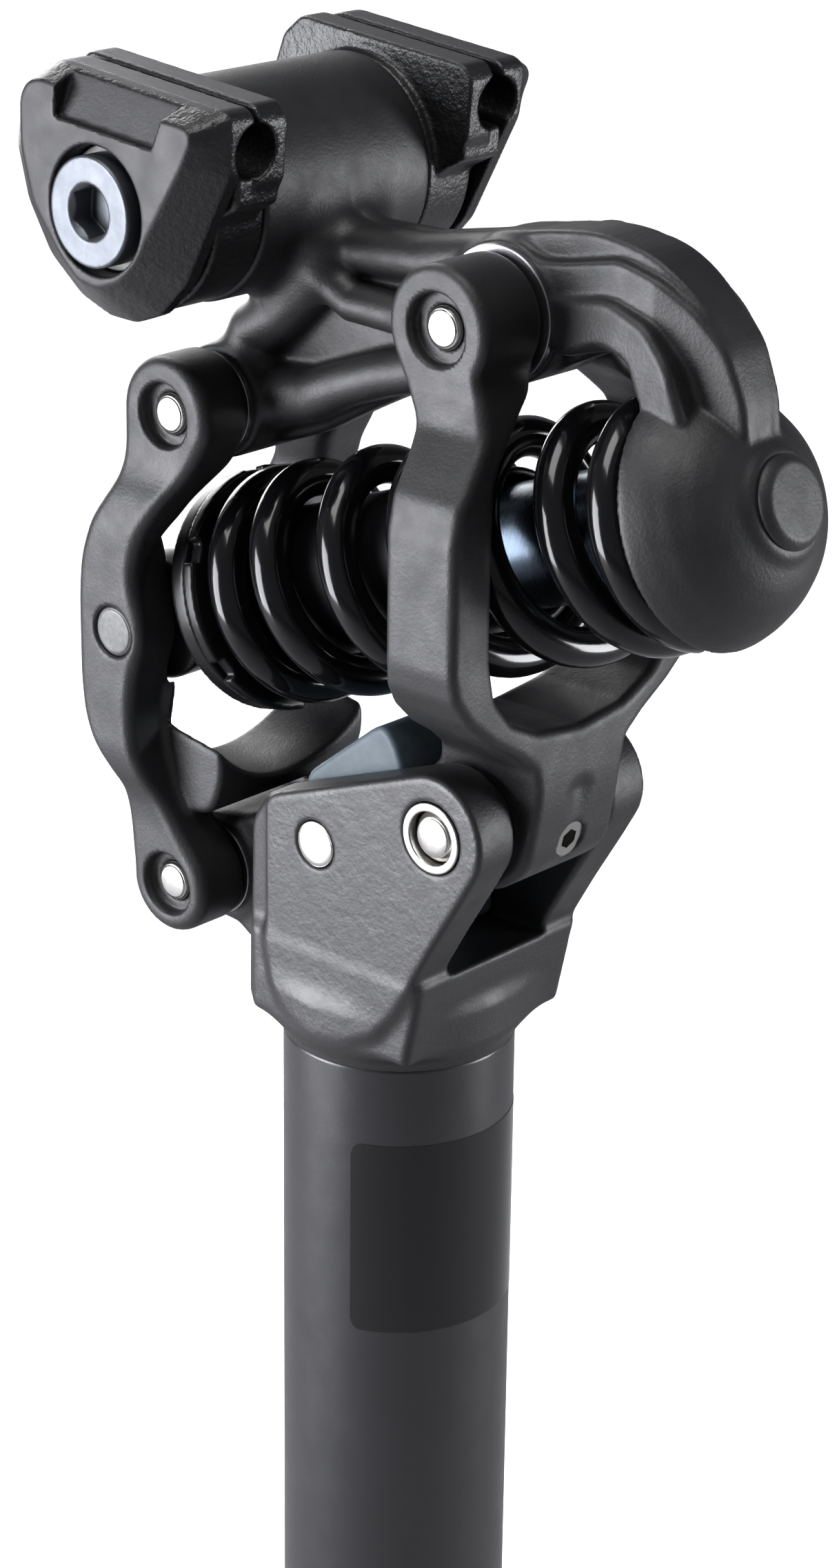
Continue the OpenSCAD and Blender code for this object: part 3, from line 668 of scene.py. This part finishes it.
MATS = {
    "tube": material("tube_anodised", (0.012, 0.012, 0.014), 0.33, vary=0.12, grain=[(0.35, 0.012)],
                     tint=(0.014, 0.014, 0.018), spec=0.8),
    "forged": material("forged_anodised", (0.011, 0.011, 0.0125), 0.5, vary=0.15,
                       grain=[(0.45, 0.05), (2.5, 0.03)], spec=0.62),
    "cast": material("grained_cast", (0.009, 0.009, 0.01), 0.36, vary=0.2,
                     grain=[(0.9, 0.17), (0.4, 0.08)], spec=0.6),
    "cheek": material("cheek_cast", (0.012, 0.012, 0.014), 0.42, vary=0.18,
                      grain=[(2.2, 0.08), (0.7, 0.05)], spec=0.7),
    "machined": material("machined_top", (0.03, 0.03, 0.034), 0.4, metal=0.3, vary=0.3,
                         grain=[(1.2, 0.05)], stretch=((0, 0, 0.35), (1.0, 9.0, 1.0))),
    "face": material("jaw_face", (0.016, 0.016, 0.018), 0.5, vary=0.12, grain=[(0.45, 0.03)]),
    "nickel": material("polished_nickel", (0.45, 0.44, 0.42), 0.24, metal=1.0, vary=0.1,
                       grain=[(1.5, 0.012)]),
    "bush": material("bush_steel", (0.4, 0.4, 0.42), 0.32, metal=1.0, vary=0.1, grain=[(0.8, 0.01)]),
    "grey": material("grey_pin", (0.13, 0.13, 0.13), 0.5, metal=0.7, grain=[(0.8, 0.03)]),
    "rubber": material("stop_elastomer", (0.085, 0.115, 0.14), 0.5, vary=0.15, grain=[(1.2, 0.03)]),
    "gloss": material("gloss_black", (0.006, 0.006, 0.007), 0.3, vary=0.2, grain=[(3, 0.01)], spec=0.3),
    "coil": material("coil_powder", (0.004, 0.004, 0.005), 0.14, vary=0.2, grain=[(2.2, 0.012)],
                     coat=0.15, spec=0.4),
    "blue": material("blue_steel", (0.07, 0.09, 0.115), 0.28, metal=1.0, vary=0.2, grain=[(0.6, 0.008)],
                     stretch=((0, 0.35, 0), (9.0, 1.0, 1.0))),
    "zinc": material("zinc_plate", (0.12, 0.13, 0.145), 0.42, metal=0.85, vary=0.12,
                     grain=[(0.7, 0.012)]),
    "film": material("gloss_film", (0.003, 0.003, 0.004), 0.08, vary=0.2, grain=[(6, 0.004)], coat=0.2),
}


def paint(o, *names):
    o.data.materials.clear()
    for k in names:
        o.data.materials.append(MATS[k])
    return o


def paint_where(o, index, test):
    """Gives faces a material slot where test(centres, normals) holds, in mm from the tube's top."""
    mesh = o.data
    count = len(mesh.polygons)
    c, n = np.zeros(count * 3), np.zeros(count * 3)
    mesh.polygons.foreach_get("center", c)
    mesh.polygons.foreach_get("normal", n)
    c = c.reshape(-1, 3) * 1000 - (0, 0, TUBE)
    slots = np.zeros(count, np.int32)
    mesh.polygons.foreach_get("material_index", slots)
    slots[test(c, n.reshape(-1, 3))] = index
    mesh.polygons.foreach_set("material_index", slots)
    mesh.update()


# ---- build ----
FINE = 0.45               # field step in mm
ALONG, ACROSS = (UX, 0, UZ), (0, 1, 0)
shell = soft([(TUBE_BORE, -TUBE), (TUBE_R, -TUBE), (TUBE_R, 0), (TUBE_BORE, 0)], 0.5, 3)
paint(turned("post_tube_piece", "post_tube", "post", shell, (0, 0, 0), (0, 0, 1), 160), "tube")
o = paint(forged("head", head, "post", FINE), "forged", "cheek")
paint_where(o, 1, lambda c, n: (abs(n[:, 1]) > 0.93) & (abs(c[:, 1]) > 15.5))
paint(pin("dowel_pin", "post", DOWEL, 3.2, 16.35, edge=0.25), "nickel")
paint(forged("bump_stop", bump_stop, "post", FINE), "rubber")
paint(bush("axle_bushes", "post", A, 3.56, 4.72, 9.5, 16.5), "nickel")
paint(bush("rear_lower_bushes", "post", C, BUSH_BORE, BUSH_R, 0.5, 7.5, 1, 6.8), "bush")

paint(forged("front_link", front_link, "front_link", FINE), "forged")
paint(pin("front_axle", "front_link", A, AXLE_R, 16.0, edge=1.0, dome=0.25), "nickel")
paint(bush("axle_washers", "front_link", A, AXLE_R, 7, 8.3, 9.3), "bush")
paint(pin("front_upper_pin", "front_link", B, PIN_R, PIN_HALF, edge=0.5, dome=0.1), "nickel")

paint(forged("rear_link", rear_link, "rear_link", FINE), "forged")
paint(pin("rear_lower_pin", "rear_link", C, PIN_R, PIN_HALF, edge=0.5, dome=0.1), "nickel")
paint(pin("rear_upper_pin", "rear_link", D, PIN_R, PIN_HALF, edge=0.5, dome=0.1), "nickel")
paint(pin("seat_pin", "rear_link", SEAT, SEAT_PIN_R, 20.3, edge=0.5), "grey")

paint(forged("upper_frame", upper_frame, "upper_frame", FINE), "forged")
paint(bush("front_upper_bushes", "upper_frame", B, BUSH_BORE, BUSH_R, 0.5, 5.5, 1, 8.6), "bush")
paint(bush("rear_upper_bushes", "upper_frame", D, BUSH_BORE, BUSH_R, 0.5, 7.5, 1, 6.8), "bush")
plug = soft([(0.02, 8.7), (4, 8.7), (4, 12.6), (5.8, 12.6), (5.8, 13.2), (4.8, 14.1), (0.02, 14.2)], 0.5, 3)
paint(turned("cup_plug_piece", "cup_plug", "upper_frame", plug, on_spring(88), ALONG),
      "forged")

paint(forged("spring_seat", spring_seat, "spring_seat", FINE), "gloss")
guide = soft([(0.02, 9), (5, 9), (5, 54), (6.3, 54), (6.3, 60), (0.02, 60)], 0.4, 3)
paint(turned("guide_rod_piece", "guide_rod", "spring_seat", guide, on_spring(0), ALONG),
      "nickel")
paint(forged("preload_ring", preload_ring, "preload_ring", FINE), "gloss")
paint(coil(), "coil")
ball = [(8.6 * math.cos(t), 88 + 8.6 * math.sin(t)) for t in np.radians(np.arange(0, 62, 6))]
sleeve = soft([(7.2, 40), (8.05, 40), (8.05, 86), (8.5, 87.2), *ball, (0.02, 95.6), (0.02, 80), (7.2, 80)],
              0.3, 2)
paint(turned("guide_sleeve_piece", "guide_sleeve", "guide_sleeve", sleeve, on_spring(0), ALONG),
      "blue")

up = (math.sin(NOSE), 0, math.cos(NOSE))         # the clamp's own upward direction
for node, field in (("outer_jaw_near", outer_jaw), ("outer_jaw_far", outer_jaw),
                    ("inner_jaw_near", inner_jaw), ("inner_jaw_far", inner_jaw)):
    o = paint(forged(node, field, "saddle_clamp", FINE * 0.8), "cast", "machined", "face")
    paint_where(o, 1, lambda c, n: (n @ up > 0.9) & (in_clamp(c[:, 0], c[:, 2])[1] > 15.6))
    if node.startswith("outer"):
        paint_where(o, 2, lambda c, n: (abs(n[:, 1]) > 0.85) & (abs(c[:, 1]) > 27.3))
paint(forged("clamp_bolt", clamp_bolt, "saddle_clamp", FINE * 0.6), "zinc")
bx, bz = BARREL
washer = soft([(4.05, 0), (7.9, 0), (7.9, 1), (4.05, 1)], 0.2, 3)
paint(turned("bolt_washer_piece", "bolt_washer", "saddle_clamp", washer, (bx, -28, bz), ACROSS),
      "grey")
nut = soft([(4.05, 27), (7.5, 27), (7.5, 31.5), (4.05, 31.5)], 0.5, 3)
paint(turned("clamp_nut_piece", "clamp_nut", "saddle_clamp", nut, (bx, 0, bz), ACROSS), "zinc")
paint(decal(), "film")
for name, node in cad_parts.items():        # a CAD node that no piece replaces
    if not node.hide_render:
        paint(node, {"set_screw": "nickel"}.get(name, "forged"))


# ---- stage ----
AZIMUTH, ELEVATION, ROLL = 42.25, 21.66, 0.73    # the camera's direction and roll, in degrees


def studio_white():
    """White to the camera's own rays, and greyer to the rest, so that the metal stays dark."""
    m = bpy.data.materials.new("studio_white")
    m.use_nodes = True
    n, link = m.node_tree.nodes, m.node_tree.links.new
    p = n["Principled BSDF"]
    p.inputs["Roughness"].default_value = 0.9
    p.inputs["Emission Color"].default_value = (1, 1, 1, 1)
    seen = n.new("ShaderNodeLightPath").outputs["Is Camera Ray"]
    tone = n.new("ShaderNodeMix")
    tone.data_type = "RGBA"
    tone.inputs["A"].default_value = (0.4, 0.4, 0.41, 1)
    tone.inputs["B"].default_value = (0.9, 0.9, 0.9, 1)
    link(seen, tone.inputs["Factor"])
    link(tone.outputs["Result"], p.inputs["Base Color"])
    glow = n.new("ShaderNodeMath")
    glow.operation = "MULTIPLY"
    glow.inputs[1].default_value = 0.75
    link(seen, glow.inputs[0])
    link(glow.outputs[0], p.inputs["Emission Strength"])
    return m


def backdrop():
    """A floor that bends up into a wall behind the object, square to the camera. Metres."""
    near, bend_start, bend_r, top, half = -3.0, 0.9, 0.6, 3.5, 4
    bend = [(bend_start + bend_r * math.sin(a), bend_r - bend_r * math.cos(a))
            for a in np.linspace(0, math.pi / 2, 24)]
    run = [(near, 0.0), *bend, (bend_start + bend_r, top)]
    yaw = math.radians(AZIMUTH)
    ahead, right = (-math.sin(yaw), math.cos(yaw)), (math.cos(yaw), math.sin(yaw))
    verts = [(ahead[0] * d + right[0] * s, ahead[1] * d + right[1] * s, h)
             for d, h in run for s in (-half, half)]
    faces = [(2 * i, 2 * i + 1, 2 * i + 3, 2 * i + 2) for i in range(len(run) - 1)]
    mesh = bpy.data.meshes.new("studio")
    mesh.from_pydata(verts, [], faces)
    mesh.shade_smooth()
    mesh.materials.append(studio_white())
    o = bpy.data.objects.new("studio", mesh)
    bpy.context.scene.collection.objects.link(o)
    return o


studio = backdrop()

world = bpy.data.worlds.new("world")
bpy.context.scene.world = world
world.use_nodes = True
sky = world.node_tree.nodes["Background"]
sky.inputs["Color"].default_value = (0.96, 0.98, 1.0, 1)
sky.inputs["Strength"].default_value = 0.18


def lamp(name, place, width, height, power, colour=(1, 1, 1)):
    """An area lamp at place, aimed at the linkage. Metres and watts."""
    data = bpy.data.lights.new(name, "AREA")
    data.shape = "RECTANGLE"
    data.size, data.size_y = width, height
    data.energy, data.color = power, colour
    o = bpy.data.objects.new(name, data)
    bpy.context.scene.collection.objects.link(o)
    o.location = place
    aim = Vector((0, 0, 0.28))
    o.rotation_euler = (aim - Vector(place)).to_track_quat("-Z", "Y").to_euler()


lamp("key_softbox", (-0.45, -0.66, 0.17), 0.5, 0.9, 19, (0.95, 0.955, 1.0))
lamp("right_softbox", (0.75, 0.62, 0.2), 0.25, 0.7, 9, (0.96, 0.965, 1.0))
lamp("top_softbox", (0.0, -0.25, 1.1), 0.45, 0.45, 3.6)
lamp("back_softbox", (-0.75, 0.35, 0.55), 0.4, 0.8, 6)


# ---- camera ----
az, el = math.radians(AZIMUTH), math.radians(ELEVATION)
back = Vector((math.sin(az) * math.cos(el), -math.cos(az) * math.cos(el), math.sin(el)))
side = (-back).cross(Vector((0, 0, 1))).normalized()
lift = side.cross(-back)
distance, shift_right, shift_up = 0.48966, 0.00221, 0.03222    # metres from the tube's top
cam = bpy.data.objects.new("camera", bpy.data.cameras.new("camera"))
bpy.context.scene.collection.objects.link(cam)
bpy.context.scene.camera = cam
cam.location = Vector((0, 0, TUBE / 1000)) + back * distance + side * shift_right + lift * shift_up
cam.rotation_mode = "QUATERNION"
basis = Matrix((side, lift, back)).transposed()
cam.rotation_quaternion = basis.to_quaternion() @ Quaternion((0, 0, 1), math.radians(ROLL))
cam.data.sensor_width = 36
cam.data.lens = 82.45
cam.data.clip_start, cam.data.clip_end = 0.02, 20
view = bpy.context.scene.view_settings
view.view_transform = "Standard"
view.look = "None"
view.exposure = 0.0
